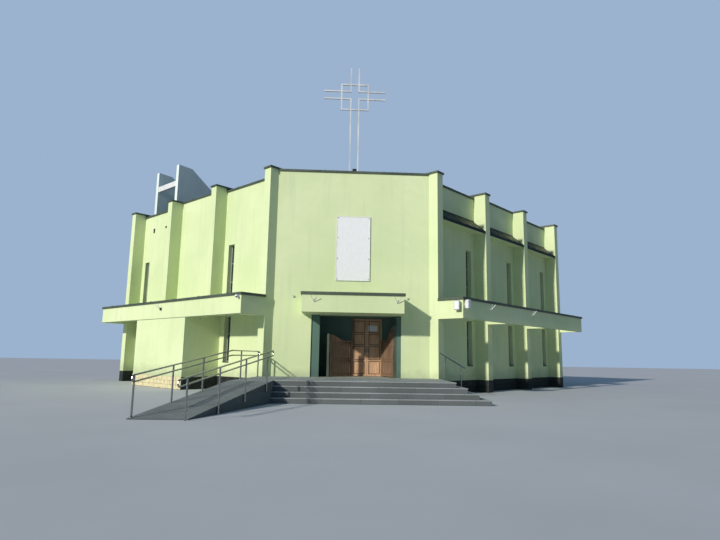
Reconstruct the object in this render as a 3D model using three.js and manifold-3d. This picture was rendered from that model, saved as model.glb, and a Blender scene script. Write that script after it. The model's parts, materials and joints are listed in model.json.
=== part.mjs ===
// Modern church hall: a square hall standing on its corner, the front corner cut off by a flat
// entrance wall. Millimetres, +Z up. The origin is on the ground under the middle of the entrance
// wall, and the entrance looks towards -Y.
import * as THREE from 'three';
import * as BufferGeometryUtils from 'three/addons/utils/BufferGeometryUtils.js';
import Module from 'manifold-3d';

const wasm = await Module();
wasm.setup();

// Driving dimensions
const gap = 0.3;                    // air between neighbouring pieces
const wall = 350;
const frontHalf = 3070;             // half the width of the entrance wall
const bay = 3868;                   // spacing of the side fins
const bays = 3;
const finThick = 384;
const finReach = 417;               // fin end, out from the side line
const wallLine = -180;              // outer face of the side walls, from the side line
const wallBack = wallLine - wall;

const riser = 164;
const tread = 306;
const steps = 3;
const floorTop = (steps + 1) * riser;
const floorThick = 250;
const plinthTop = 530;
const ledge = 150;                  // carries the floor's edge

const frontTop = 8870;
const finTop = 8920;
const bayTops = [8745, 8895, 8745]; // top of the wall in each side bay
const copingHeight = 85;
const copingLip = 45;
const capHeight = 75;
const roofTop = 8280;
const roofThick = 250;

const slotWidth = 440;              // tall narrow windows near the far end of a bay
const slotStart = 770;              // from the next fin back to the slot
const lowerSlot = [1146, 3090];
const upperSlot = [3850, 6256];

const canopyBottom = 2958;
const canopySoffit = 3106;
const canopyDeck = 3360;
const canopyRib = 3430;             // top of the ribs where a canopy has no deck
const canopyTop = 3667;
const canopyEdge = 1538;            // outer face of the side canopies, from the side line
const canopyBeam = 150;
const canopyCoping = 100;

const eavesSoffit = 7080;           // sloping eaves between the right side's fins
const eavesLip = 7180;
const eavesTop = 7680;
const eavesReach = 400;             // from the side line

const porchHalf = 1905;             // canopy over the entrance
const porchReach = 1300;
const porchBottom = 3060;
const porchTop = 3712;

const openingLeft = -1580;          // entrance opening in the wall
const openingRight = 1950;
const openingHead = 3056;
const pierLeft = -1250;             // the left jamb is wider than the passage wall behind it
const pierDepth = 400;
const passageLeft = -1310;          // clear faces of the passage behind it
const passageRight = 1780;
const passageSetBack = 50;
const passageCeiling = 160;
const doorWallY = [1480, 1600];     // door wall, from the entrance wall's face
const doorLeft = 70;
const doorRight = 1330;
const doorHead = 3030;

const leafGap = 8;
const leafThick = 56;
const leafWidth = (doorRight - doorLeft) / 2 - 1.5 * leafGap;
const leafHinge = { levels: [900, 1860, 2800], fixed: 9.5, moving: 7 };

const postSize = 90;
const gateLine = 120;               // gate posts, from the entrance wall's face
const postLeft = -900;
const postRight = passageRight - postSize / 2 - gap;
const hingeOut = postSize / 2 + 7;  // hinge line, from the post's middle both ways
const hingeLine = gateLine + hingeOut;
const gateThick = 40;
const gateWidth = (postRight - postLeft - postSize) / 2 - 15;
const gateFoot = 30;
const gateHeights = {               // at the hinge and at the free end
  left: [1640, 1440],
  right: [2010, 1480],
};
const gateTurns = [43.6, -73];      // both stand open inwards, degrees
const gateHinge = { levels: [960, 1960], fixed: 13, moving: 8.5 };
const knuckle = 30;                 // half the height of a hinge's moving knuckle

const landingDepth = 3280;
const landingRight = 3364;
const landingLeft = -2600;
const landingEdge = -3540;          // its left side, beside the corner fin
const rampTop = [[-2600, -4200], [-3930, -3900]];   // right and left corner at landing level
const rampFoot = [[-3900, -8710], [-5240, -8730]];
const rampLip = 24;

const railRadius = 21;
const postRadius = 24;
const railHeight = 930;
const lowerRail = 780;
const railInset = 60;

const towerEnd = -800;              // outer ends of the two roof blades, from the side line
const towerKnee = -1600;
const towerSlope = 0.73;
const bladeThick = 240;
const bladeLines = [9590, 11748];   // along the left wall
const bladeTop = 11606;
const kneeTop = 11556;
const beamLevels = [10466, 10756];

const crossX = -15;
const crossY = 1000;
const tube = 56;
const mastGap = 350;
const crossTop = 14066;
const armLevels = [12606, 12956];
const armReach = 1307;
const ringHalf = 580;
const ringMiddle = 12691;

const facade = -wall / 2;           // Y of the entrance wall's outer face
const sideEnd = bays * bay + finThick;
const sideLength = Math.SQRT2 * frontHalf + sideEnd;
const rearFace = sideEnd - wall;

// Solids
function solid(geometry) {
  geometry.deleteAttribute('normal');
  geometry.deleteAttribute('uv');
  const merged = BufferGeometryUtils.mergeVertices(geometry, 1e-3);
  return new wasm.Manifold(new wasm.Mesh({
    numProp: 3,
    vertProperties: Float32Array.from(merged.attributes.position.array),
    triVerts: Uint32Array.from(merged.index.array),
  }));
}

function join(parts) {
  return parts.reduce((sum, part) => sum.add(part));
}

function cut(body, tools) {
  return tools.reduce((rest, tool) => rest.subtract(tool), body);
}

function box(x0, x1, y0, y1, z0, z1) {
  const geometry = new THREE.BoxGeometry(Math.abs(x1 - x0), Math.abs(y1 - y0), Math.abs(z1 - z0));
  geometry.translate((x0 + x1) / 2, (y0 + y1) / 2, (z0 + z1) / 2);
  return geometry;
}

function block(...limits) {
  return solid(box(...limits));
}

function extrude(points, depth) {
  const shape = new THREE.Shape();
  points.forEach(([x, y], i) => (i ? shape.lineTo(x, y) : shape.moveTo(x, y)));
  shape.closePath();
  return new THREE.ExtrudeGeometry(shape, { depth, bevelEnabled: false });
}

// A plan outline raised from z0 to z1
function slab(points, z0, z1) {
  const geometry = extrude(points, z1 - z0);
  geometry.translate(0, 0, z0);
  return solid(geometry);
}

// An outline in the X-Z plane, thickened from y0 to y1
function upright(points, y0, y1) {
  const geometry = extrude(points, y1 - y0);
  geometry.rotateX(Math.PI / 2);
  geometry.translate(0, y1, 0);
  return solid(geometry);
}

// An outline in the Y-Z plane, thickened from x0 to x1
function gable(points, x0, x1) {
  const geometry = extrude(points, x1 - x0);
  geometry.rotateX(Math.PI / 2);
  geometry.rotateZ(Math.PI / 2);
  geometry.translate(x0, 0, 0);
  return solid(geometry);
}

// A round bar between two points
function bar(from, to, radius, flats = 12) {
  const start = new THREE.Vector3(...from);
  const run = new THREE.Vector3(...to).sub(start);
  const geometry = new THREE.CylinderGeometry(radius, radius, run.length(), flats);
  geometry.translate(0, run.length() / 2, 0);
  const up = new THREE.Vector3(0, 1, 0);
  geometry.applyQuaternion(new THREE.Quaternion().setFromUnitVectors(up, run.clone().normalize()));
  geometry.translate(start.x, start.y, start.z);
  return solid(geometry);
}

// Bars along a line of points, with a ball at each corner
function railing(points, radius) {
  const parts = points.map((point) => {
    const ball = new THREE.IcosahedronGeometry(radius * 1.04, 1);
    ball.translate(...point);
    return solid(ball);
  });
  for (let i = 1; i < points.length; i++) parts.push(bar(points[i - 1], points[i], radius));
  return join(parts);
}

const finishes = {
  render: { color: 0xc4d6a0, roughness: 0.9, metalness: 0 },
  darkMetal: { color: 0x2c3833, roughness: 0.5, metalness: 0.6 },
  plinth: { color: 0x2b2e2d, roughness: 0.8, metalness: 0 },
  stone: { color: 0x9aa19c, roughness: 0.85, metalness: 0 },
  teal: { color: 0x2f4a46, roughness: 0.7, metalness: 0 },
  wood: { color: 0x7a4b2c, roughness: 0.6, metalness: 0 },
  steel: { color: 0x9fa6a6, roughness: 0.35, metalness: 0.9 },
  tower: { color: 0xa4b0b0, roughness: 0.85, metalness: 0 },
  white: { color: 0xe6e8e4, roughness: 0.6, metalness: 0 },
  roofing: { color: 0x4a4d4b, roughness: 0.95, metalness: 0 },
};

function piece(name, finish, body) {
  const mesh = body.getMesh();
  const geometry = new THREE.BufferGeometry();
  geometry.setAttribute('position', new THREE.BufferAttribute(mesh.vertProperties, 3));
  geometry.setIndex(new THREE.BufferAttribute(mesh.triVerts, 1));
  geometry.computeVertexNormals();
  const result = new THREE.Mesh(geometry, new THREE.MeshStandardMaterial(finishes[finish]));
  result.name = name;
  return result;
}

const church = new THREE.Group();

// The entrance side is drawn from the front wall's outer face, in its own group
const front = new THREE.Group();
front.position.y = facade;
church.add(front);

function frontWall() {
  const end = frontHalf - Math.SQRT2 * gap;
  const body = slab([[-end, 0], [end, 0], [end - wall, wall], [-end + wall, wall]], 0, frontTop);
  return body.subtract(block(openingLeft, openingRight, -10, wall + 10, floorTop, openingHead));
}

// Its ends stop short of the caps on the corner fins
function frontCoping() {
  const end = (y) => frontHalf - Math.SQRT2 * (copingLip + gap) - y;
  const [y0, y1] = [-copingLip, wall + copingLip];
  const plan = [[-end(y0), y0], [end(y0), y0], [end(y1), y1], [-end(y1), y1]];
  return slab(plan, frontTop + gap, frontTop + gap + copingHeight);
}

// A slab with a raised rim on its three outer sides
function frontCanopy() {
  const rim = 120;
  const deck = porchBottom + 260;
  const body = block(-porchHalf, porchHalf, -porchReach, -gap, porchBottom, porchTop);
  return body.subtract(
    block(-porchHalf + rim, porchHalf - rim, -porchReach + rim, 10, deck, porchTop + 10));
}

function frontCanopyCoping() {
  const rim = 170;
  const outer = porchHalf + copingLip;
  const [z0, z1] = [porchTop + gap, porchTop + canopyCoping];
  const body = block(-outer, outer, -porchReach - copingLip, -gap, z0, z1);
  return body.subtract(
    block(-porchHalf + rim, porchHalf - rim, -porchReach + rim, 10, z0 - 10, z1 + 10));
}

// Hinges: a knuckle on the moving leaf turns between two on what carries it
function fixedKnuckles(hinge, x, y) {
  const near = knuckle + 1;
  return hinge.levels.flatMap((z) => [
    bar([x, y, z - 2 * knuckle], [x, y, z - near], hinge.fixed, 16),
    bar([x, y, z + near], [x, y, z + 2 * knuckle], hinge.fixed, 16),
  ]);
}

function fitHinge(leaf, hinge) {
  const far = 2 * knuckle + 1;
  const rooms = hinge.levels.flatMap((z) => [
    bar([0, 0, z - far], [0, 0, z - knuckle], hinge.fixed + 1, 16),
    bar([0, 0, z + knuckle], [0, 0, z + far], hinge.fixed + 1, 16),
  ]);
  const barrels = hinge.levels.map((z) => bar([0, 0, z - knuckle], [0, 0, z + knuckle], hinge.moving, 16));
  return join([cut(leaf, rooms), ...barrels]);
}

// Passage behind the opening: two side walls, a ceiling and the wall that holds the doors
function entrancePassage() {
  const [left, right] = [openingLeft + gap, openingRight - gap];
  const foot = floorTop + gap;
  const head = openingHead - gap;
  const top = openingHead + passageCeiling;
  const [y0, y1] = doorWallY;
  return join([
    block(left, pierLeft, passageSetBack, pierDepth, foot, head),
    block(left, passageLeft, passageSetBack, y1, foot, head),
    block(passageRight, right, passageSetBack, y1, foot, head),
    block(left, right, wall + gap, y1, head - 20, top),
    block(left, doorLeft, y0, y1, foot, head),
    block(doorRight, right, y0, y1, foot, head),
    block(left, right, y0, y1, doorHead, top),
    ...fixedKnuckles(leafHinge, doorLeft + leafGap, y1),
    ...fixedKnuckles(leafHinge, doorRight - leafGap, y1),
  ]);
}

front.add(
  piece('front_wall', 'render', frontWall()),
  piece('front_coping', 'darkMetal', frontCoping()),
  piece('front_canopy', 'render', frontCanopy()),
  piece('front_canopy_coping', 'darkMetal', frontCanopyCoping()),
  piece('entrance_passage', 'teal', entrancePassage()),
);

// A panelled door leaf. It hangs on the line x = y = 0 with its room side at y = 0 when closed;
// hand is +1 where the closed leaf points towards +X and -1 where it points towards -X
function doorLeaf(hand) {
  const [z0, z1] = [floorTop + 10, doorHead - leafGap];
  const stile = 100;
  const rail = 50;
  const sunk = 12;
  const levels = [z0 + 60, z0 + 640, z0 + 1250, z0 + 1750, z1 - 60];
  const [x0, x1] = [hand * stile, hand * (leafWidth - stile)];
  const panels = [];
  for (let i = 1; i < levels.length; i++) {
    const [low, high] = [levels[i - 1] + rail, levels[i] - rail];
    panels.push(block(x0, x1, -leafThick - 10, -leafThick + sunk, low, high));
    panels.push(block(x0, x1, -sunk, 10, low, high));
  }
  return fitHinge(cut(block(0, hand * leafWidth, -leafThick, 0, z0, z1), panels), leafHinge);
}

// A low gate with a swan-neck top. It hangs on the line x = y = 0 with its inner face at y = 0
function gate(hand, heights) {
  const foot = floorTop + gateFoot;
  const [high, low] = heights.map((height) => floorTop + height);
  const slices = 12;
  const points = [[0, foot], [hand * gateWidth, foot]];
  for (let i = slices; i >= 0; i--) {
    const fall = Math.min(1, (1.5 * i) / slices);
    const level = low + ((high - low) * (1 + Math.cos(Math.PI * fall))) / 2;
    points.push([(hand * gateWidth * i) / slices, level]);
  }
  const sunk = 9;
  const panels = [];
  for (const [z0, z1] of [[foot + 110, foot + 590], [foot + 700, low - 110]]) {
    const [x0, x1] = [hand * 150, hand * (gateWidth - 150)];
    panels.push(block(x0, x1, -sunk, 10, z0, z1));
    panels.push(block(x0, x1, -gateThick - 10, -gateThick + sunk, z0, z1));
  }
  return fitHinge(cut(upright(points, -gateThick, 0), panels), gateHinge);
}

// It stands 30 mm above the gate's high side
function gatePost(x, hingeX, height) {
  const half = postSize / 2;
  const top = floorTop + height + 30;
  const post = block(x - half, x + half, gateLine - half, gateLine + half, floorTop + gap, top);
  return join([post, ...fixedKnuckles(gateHinge, hingeX, hingeLine)]);
}

function hang(name, body, x, y, turn) {
  const door = piece(name, 'wood', body);
  door.position.set(x, y, 0);
  door.rotation.z = THREE.MathUtils.degToRad(turn);
  front.add(door);
}

const [gateLeftX, gateRightX] = [postLeft + hingeOut, postRight - hingeOut];
hang('door_leaf_left', doorLeaf(1), doorLeft + leafGap, doorWallY[1], 0);
hang('door_leaf_right', doorLeaf(-1), doorRight - leafGap, doorWallY[1], 0);
hang('gate_left', gate(1, gateHeights.left), gateLeftX, hingeLine, gateTurns[0]);
hang('gate_right', gate(-1, gateHeights.right), gateRightX, hingeLine, gateTurns[1]);
front.add(
  piece('gate_post_left', 'darkMetal', gatePost(postLeft, gateLeftX, gateHeights.left[0])),
  piece('gate_post_right', 'darkMetal', gatePost(postRight, gateRightX, gateHeights.right[0])),
);

// Landing in front of the entrance; its back edge follows the wall and the corner fins' sides
function landing() {
  const corner = [landingRight, frontHalf - landingRight - Math.SQRT2 * gap];
  const root = [frontHalf - 0.4 * gap, -gap];
  const fin = finReach * Math.SQRT1_2;
  const beside = -landingEdge - frontHalf - 2 * fin - 1.5 * gap;
  const plan = [
    [landingRight, -landingDepth], corner, root, [-root[0], root[1]],
    [-frontHalf - fin, -fin - 1.5 * gap], [landingEdge, beside],
    rampTop[1], rampTop[0], [landingLeft, -landingDepth],
  ];
  return slab(plan, 0, floorTop);
}

// The lower steps wrap round the landing's front and right side
function entranceSteps() {
  const back = frontHalf - landingRight - 40;
  const flights = [];
  for (let n = 1; n <= steps; n++) {
    const reach = n * tread;
    const plan = [
      [landingLeft + gap, -landingDepth - gap], [landingLeft + gap, -landingDepth - reach],
      [landingRight + reach, -landingDepth - reach], [landingRight + reach, back],
      [landingRight + gap, back], [landingRight + gap, -landingDepth - gap],
    ];
    flights.push(slab(plan, 0, floorTop - n * riser));
  }
  return join(flights);
}

function ramp() {
  const clear = (top, foot) => top.map((value, i) => value + (foot[i] - value) * 1e-4);
  const [right, left] = [clear(rampTop[0], rampFoot[0]), clear(rampTop[1], rampFoot[1])];
  const corners = [
    [...right, 0], [...left, 0], [...rampFoot[1], 0], [...rampFoot[0], 0],
    [...right, floorTop], [...left, floorTop], [...rampFoot[1], rampLip], [...rampFoot[0], rampLip],
  ];
  const quads = [[0, 3, 2, 1], [4, 5, 6, 7], [0, 1, 5, 4], [2, 3, 7, 6], [1, 2, 6, 5], [3, 0, 4, 7]];
  const wedge = new THREE.BufferGeometry();
  wedge.setAttribute('position', new THREE.BufferAttribute(Float32Array.from(corners.flat()), 3));
  wedge.setIndex(quads.flatMap(([a, b, c, d]) => [a, b, c, a, c, d]));
  return solid(wedge);
}

front.add(
  piece('landing', 'stone', landing()),
  piece('entrance_steps', 'stone', entranceSteps()),
  piece('entrance_ramp', 'stone', ramp()),
);

// Double handrails: the two rails run into each other in a round end, on posts
function raise([x, y, z], height) {
  return [x, y, z + height];
}

function roundEnd(end, before) {
  const way = new THREE.Vector2(end[0] - before[0], end[1] - before[1]).normalize();
  const radius = (railHeight - lowerRail) / 2;
  const points = [];
  for (let i = 1; i < 6; i++) {
    const angle = (Math.PI * i) / 6;
    const out = radius * Math.sin(angle);
    const level = end[2] + lowerRail + radius * (1 - Math.cos(angle));
    points.push([end[0] + way.x * out, end[1] + way.y * out, level]);
  }
  return points;
}

// The posts are pairs of a foot and a height
function doubleRail(points, posts) {
  const last = points.length - 1;
  const loop = [
    ...points.map((point) => raise(point, lowerRail)),
    ...roundEnd(points[last], points[last - 1]),
    ...[...points].reverse().map((point) => raise(point, railHeight)),
    ...roundEnd(points[0], points[1]).reverse(),
    raise(points[0], lowerRail),
  ];
  const legs = posts.map(([foot, height]) => bar(foot, raise(foot, height), postRadius));
  return join([railing(loop, railRadius), ...legs]);
}

// A point over the ramp's edge, moved inwards from it
function onRamp(edge, share, inset) {
  const [foot, top] = [rampFoot[edge], rampTop[edge]];
  const along = new THREE.Vector2(top[0] - foot[0], top[1] - foot[1]).normalize();
  const hand = edge ? 1 : -1;
  return [
    foot[0] + (top[0] - foot[0]) * share + hand * along.y * inset,
    foot[1] + (top[1] - foot[1]) * share - hand * along.x * inset,
    rampLip + (floorTop - rampLip) * share + 4,
  ];
}

// The right rail's posts stand against the side of the ramp and reach below its edge
function rampRailRight() {
  const inset = -postRadius - 2 * gap;
  const posts = [-0.035, 0.285, 0.604, 0.918].map((share) => {
    const [x, y, z] = onRamp(0, share, inset);
    const foot = Math.max(0, z - 220);
    return [[x, y, foot], z + railHeight - foot];
  });
  return doubleRail([onRamp(0, -0.1, inset), onRamp(0, 1, inset)], posts);
}

// The left rail goes on along the landing's edge to the corner fin
function rampRailLeft() {
  const turn = [rampTop[1][0] + railInset, rampTop[1][1] + 40, floorTop + gap];
  const end = [landingEdge + railInset, -500, floorTop + gap];
  const between = (share) => turn.map((value, i) => value + (end[i] - value) * share);
  const feet = [
    ...[0.016, 0.336, 0.645].map((share) => onRamp(1, share, railInset)),
    between(0.3), between(0.97),
  ];
  return doubleRail([feet[0], turn, end], feet.map((foot) => [foot, railHeight]));
}

function stairRail() {
  const y = -620;
  const [x0, x1] = [3340, 4310];
  const [z0, z1] = [floorTop + 990, floorTop + 430];
  const level = (x) => z0 + ((z1 - z0) * (x - x0)) / (x1 - x0);
  const post = (x, foot) => bar([x, y, foot + gap], [x, y, level(x)], postRadius);
  return join([
    railing([[x0, y, z0], [x1, y, z1]], railRadius),
    post(3550, floorTop - riser),
    post(4160, floorTop - 3 * riser),
  ]);
}

front.add(
  piece('ramp_rail_right', 'steel', rampRailRight()),
  piece('ramp_rail_left', 'steel', rampRailLeft()),
  piece('stair_rail', 'steel', stairRail()),
);

// Roof cross of square tube: four angle pieces round an open middle, tied by a square ring
function roofCross() {
  const t = tube / 2;
  const rod = (x0, x1, z0, z1) => (
    block(crossX + x0 - t, crossX + x1 + t, crossY - t, crossY + t, z0 - t, z1 + t));
  const [low, high] = armLevels;
  const [ringFoot, ringHead] = [ringMiddle - ringHalf, ringMiddle + ringHalf];
  const parts = [
    rod(-ringHalf, ringHalf, ringFoot, ringFoot),
    rod(-ringHalf, ringHalf, ringHead, ringHead),
  ];
  for (const hand of [-1, 1]) {
    const mast = (hand * mastGap) / 2;
    const [x0, x1] = hand < 0 ? [-armReach, mast] : [mast, armReach];
    parts.push(
      rod(mast, mast, roofTop + gap + t, low),
      rod(mast, mast, high, crossTop - t),
      rod(x0, x1, low, low),
      rod(x0, x1, high, high),
      rod(hand * ringHalf, hand * ringHalf, ringFoot, ringHead),
    );
  }
  return join(parts);
}

front.add(piece('roof_cross', 'steel', roofCross()));

// Each side has its own group. Along the wall from the entrance wall's end runs q, and m runs out
// across it from the side line; out is +1 where the group's y is m and -1 where it is -m.
const sides = [
  { name: 'left', out: 1, x: -frontHalf, turn: 0.75 * Math.PI, windows: [1, 3], deck: true },
  { name: 'right', out: -1, x: frontHalf, turn: 0.25 * Math.PI, windows: [1, 2, 3], deck: false },
];
const rearRibs = [1, 2, 3].map((n) => (-n * sideLength) / 4);

function sideBox(side, q0, q1, m0, m1, z0, z1) {
  return box(q0, q1, side.out * m0, side.out * m1, z0, z1);
}

function sideBlock(side, ...limits) {
  return solid(sideBox(side, ...limits));
}

// One bay of a side wall, as far as the middle of the fins beside it. A higher bay stands up
// between the fins
function wallBay(side, n) {
  const [foot, low, high] = [plinthTop + gap, bayTops[0], bayTops[n - 1]];
  const between = [(n - 1) * bay + finThick + gap, n * bay - gap];
  const q0 = n > 1 ? (n - 1) * bay + (finThick + gap) / 2 : between[0];
  const q1 = n < bays ? n * bay + (finThick - gap) / 2 : between[1];
  const points = [[q0, foot], [q1, foot], [q1, low]];
  if (high > low) points.push([between[1], low], [between[1], high], [between[0], high], [between[0], low]);
  points.push([q0, low]);
  const [y0, y1] = side.out > 0 ? [wallBack, wallLine] : [-wallLine, -wallBack];
  const body = upright(points, y0, y1);
  if (!side.windows.includes(n)) return body;
  const q = n * bay - slotStart;
  return cut(body, [lowerSlot, upperSlot].map((levels) => (
    sideBlock(side, q, q + slotWidth, wallBack - 10, wallLine + 10, ...levels))));
}

// The end fins are whole corner posts; the middle ones stand before the wall and reach over its top
function fin(side, index) {
  const [q0, q1] = [index * bay, index * bay + finThick];
  const foot = plinthTop + gap;
  if (index === 0 || index === bays) return sideBlock(side, q0, q1, wallBack, finReach, foot, finTop);
  return join([
    sideBlock(side, q0, q1, wallLine + gap, finReach, foot, finTop),
    sideBlock(side, q0, q1, wallBack, wallLine + 50, bayTops[0] + gap, finTop),
  ]);
}

// Strips on the bays and caps on the fins, tied by thin upstands against the fins' sides
function sideCoping(side) {
  const back = wallBack - copingLip;
  const out = wallLine + copingLip;
  const ply = 20;
  const parts = [];
  for (let n = 0; n < bays; n++) {
    const base = bayTops[n] + gap;
    const [q0, q1] = [n * bay + finThick + gap, (n + 1) * bay - gap];
    parts.push(sideBlock(side, q0, q1, back, out, base, base + copingHeight));
    for (const q of [q0, q1 - ply]) {
      parts.push(sideBlock(side, q, q + ply, back, out, base, finTop + capHeight / 2));
    }
  }
  for (let n = 0; n <= bays; n++) {
    const [q0, q1] = [n * bay - copingLip, n * bay + finThick + copingLip];
    parts.push(sideBlock(side, q0, q1, back, finReach + copingLip, finTop + gap, finTop + gap + capHeight));
  }
  return join(parts);
}

// A deep edge beam with a rib to each fin, and on the left a deck between them
function sideCanopy(side) {
  const inner = wallLine + gap;
  const rim = canopyBeam;
  const beam = canopyEdge - rim;
  const top = side.deck ? canopyDeck : canopyRib;
  const tools = [sideBlock(side, rim, sideEnd - rim, inner - 10, beam, top, canopyTop + 10)];
  for (let n = 0; n < bays; n++) {
    const q0 = n * bay + (n || side.deck ? finThick : rim);
    const q1 = (n + 1) * bay + (n + 1 < bays || side.deck ? 0 : finThick - rim);
    tools.push(sideBlock(side, q0, q1, inner - 10, beam,
      canopyBottom - 10, side.deck ? canopySoffit : canopyTop + 10));
  }
  for (let n = 0; n <= bays; n++) {
    const [q0, q1] = [n * bay - (n ? gap : 10), n * bay + finThick + (n < bays ? gap : 10)];
    tools.push(sideBlock(side, q0, q1, inner - 10, finReach + gap, canopyBottom - 10, canopyTop + 10));
  }
  return cut(sideBlock(side, 0, sideEnd, inner, canopyEdge, canopyBottom, canopyTop), tools);
}

function sideCanopyCoping(side) {
  const [z0, z1] = [canopyTop + gap, canopyTop + canopyCoping];
  const strip = canopyBeam + 40;
  const body = sideBlock(side, -copingLip, sideEnd + copingLip, finReach + gap, canopyEdge + copingLip,
    z0, z1);
  return body.subtract(
    sideBlock(side, strip, sideEnd - strip, 0, canopyEdge - strip, z0 - 10, z1 + 10));
}

// Closed eaves with a level soffit and a roof that slopes down from the wall, between two fins
function eaves(side, n) {
  const profile = [
    [wallLine + gap, eavesSoffit], [eavesReach, eavesSoffit], [eavesReach, eavesLip],
    [wallLine + gap, eavesTop],
  ];
  const outline = profile.map(([m, z]) => [side.out * m, z]);
  return gable(outline, (n - 1) * bay + finThick + gap, n * bay - gap);
}

// The two rear walls repeat the side bays, with ribs on their outer faces
function rearWall(side) {
  const far = side.out > 0 ? -sideLength : -sideLength + wall + gap;
  const foot = plinthTop + gap;
  const reach = sideEnd + finReach - wallLine;
  const slots = [];
  for (const m of [...rearRibs, -sideLength]) {
    const [m0, m1] = [m + slotStart - slotWidth, m + slotStart];
    for (const levels of [lowerSlot, upperSlot]) {
      slots.push(sideBlock(side, rearFace - 10, sideEnd + 10, m0, m1, ...levels));
    }
  }
  const body = sideBlock(side, rearFace, sideEnd, far, wallBack - gap, foot, bayTops[0]);
  const ribs = rearRibs.map((m) => (
    sideBlock(side, sideEnd - 5, reach, m - finThick / 2, m + finThick / 2, foot, bayTops[0])));
  return join([cut(body, slots), ...ribs]);
}

// Where a blade's sloping back is at a given level, as a distance m
function slopeAt(level) {
  return towerKnee - (kneeTop - level) / towerSlope;
}

// The left one passes inside the blade that stands on the wall
function rearCoping(side) {
  const left = side.out > 0;
  const [z0, z1] = [bayTops[0] + gap, bayTops[0] + gap + copingHeight];
  const [near, q0] = [wallBack - copingLip - gap, rearFace - copingLip];
  const far = left ? -sideLength - copingLip : -sideLength + wall + copingLip + gap;
  const [reach, half] = [sideEnd + finReach - wallLine + copingLip, finThick / 2 + copingLip];
  const free = left ? slopeAt(bayTops[0]) - gap : near;
  const caps = rearRibs.filter((m) => m + half < free).map((m) => (
    sideBlock(side, sideEnd, reach, m - half, m + half, z0, z1)));
  const strip = sideBlock(side, q0, sideEnd + copingLip, far, near, z0, z1);
  if (!left) return join([strip, ...caps]);
  const blade = sideBlock(side, bladeLines[1] - gap, sideEnd + copingLip + 10, free, towerEnd + gap,
    z0 - 10, z1 + 10);
  return join([strip.subtract(blade), ...caps]);
}

// Low room under the left canopy: a front wall and two end walls standing against the fins
function leftBlock(side) {
  const [q0, q1] = [bay, 2 * bay + finThick];
  const inner = finReach + gap;
  return sideBlock(side, q0, q1, inner, canopyEdge, 0, canopyBottom - gap).subtract(
    sideBlock(side, q0 + wall, q1 - wall, inner - 10, canopyEdge - 250, -10, canopyBottom + 10));
}

// Blade on the roof with a level top and a long sloping back
function blade(q, foot) {
  const points = [
    [towerEnd, foot + gap], [towerEnd, bladeTop], [towerKnee, kneeTop],
    [slopeAt(foot + 60), foot + 60], [slopeAt(foot + 60), foot + gap],
  ];
  return gable(points, q, q + bladeThick);
}

for (const side of sides) {
  const group = new THREE.Group();
  group.position.set(side.x, facade, 0);
  group.rotation.z = side.turn;
  church.add(group);
  for (let n = 1; n <= bays; n++) group.add(piece(`${side.name}_wall_${n}`, 'render', wallBay(side, n)));
  for (let n = 0; n <= bays; n++) group.add(piece(`${side.name}_fin_${n + 1}`, 'render', fin(side, n)));
  group.add(
    piece(`${side.name}_coping`, 'darkMetal', sideCoping(side)),
    piece(`${side.name}_canopy`, 'render', sideCanopy(side)),
    piece(`${side.name}_canopy_coping`, 'darkMetal', sideCanopyCoping(side)),
    piece(`rear_${side.name}_wall`, 'render', rearWall(side)),
    piece(`rear_${side.name}_coping`, 'darkMetal', rearCoping(side)),
  );
  if (side.name === 'right') {
    for (let n = 1; n <= bays; n++) group.add(piece(`right_eaves_${n}`, 'render', eaves(side, n)));
  }
  if (side.name === 'left') {
    const [near, far] = bladeLines;
    const beam = sideBlock(side, near + bladeThick + gap, far - gap, towerEnd - 200, towerEnd - 20,
      ...beamLevels);
    group.add(
      piece('left_block', 'render', leftBlock(side)),
      piece('tower_blade_near', 'tower', blade(near, roofTop)),
      piece('tower_blade_far', 'tower', blade(far, bayTops[0])),
      piece('tower_beam', 'white', beam),
    );
  }
}

// Plan inside the walls, less a clearance all round
function hallPlan(clear) {
  const [m, q, y] = [wallBack - clear, rearFace - clear, wall + clear];
  const nearX = frontHalf + y + Math.SQRT2 * m;
  const sideX = frontHalf + (q + m) * Math.SQRT1_2;
  const sideY = (q - m) * Math.SQRT1_2;
  const backY = frontHalf + Math.SQRT2 * q;
  return [[-nearX, y], [nearX, y], [sideX, sideY], [0, backY], [-sideX, sideY]];
}

// Plinth under the side and rear walls, with a foot under every fin and a ledge for the floor
function plinth() {
  const ledgeTop = floorTop - floorThick - gap;
  const reach = sideEnd + finReach - wallLine;
  const parts = [];
  for (const side of sides) {
    const rearEnd = side.out > 0 ? -sideLength + 1 : -sideLength + 200;
    const runs = [
      [0, sideEnd, wallBack, wallLine, plinthTop],
      [rearFace, sideEnd, rearEnd, wallBack + 50, plinthTop],
      [0, sideEnd - 50, wallBack - ledge, wallBack + 50, ledgeTop],
      [rearFace - ledge, rearFace + 50, -sideLength + 200, wallBack, ledgeTop],
    ];
    for (let n = 0; n <= bays; n++) {
      runs.push([n * bay, n * bay + finThick, wallBack, finReach, plinthTop]);
    }
    for (const m of rearRibs) {
      runs.push([rearFace + 50, reach, m - finThick / 2, m + finThick / 2, plinthTop]);
    }
    for (const [q0, q1, m0, m1, top] of runs) {
      const geometry = sideBox(side, q0, q1, m0, m1, 0, top);
      geometry.rotateZ(side.turn);
      geometry.translate(side.x, 0, 0);
      parts.push(solid(geometry));
    }
  }
  return join(parts);
}

front.add(
  piece('plinth', 'plinth', plinth()),
  piece('floor_slab', 'stone', slab(hallPlan(gap), floorTop - floorThick, floorTop)),
  piece('roof_slab', 'roofing', slab(hallPlan(gap), roofTop - roofThick, roofTop)),
);

export default church;
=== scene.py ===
import json
import math
import random

import bmesh
import bpy
from mathutils import Matrix, Vector


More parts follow.
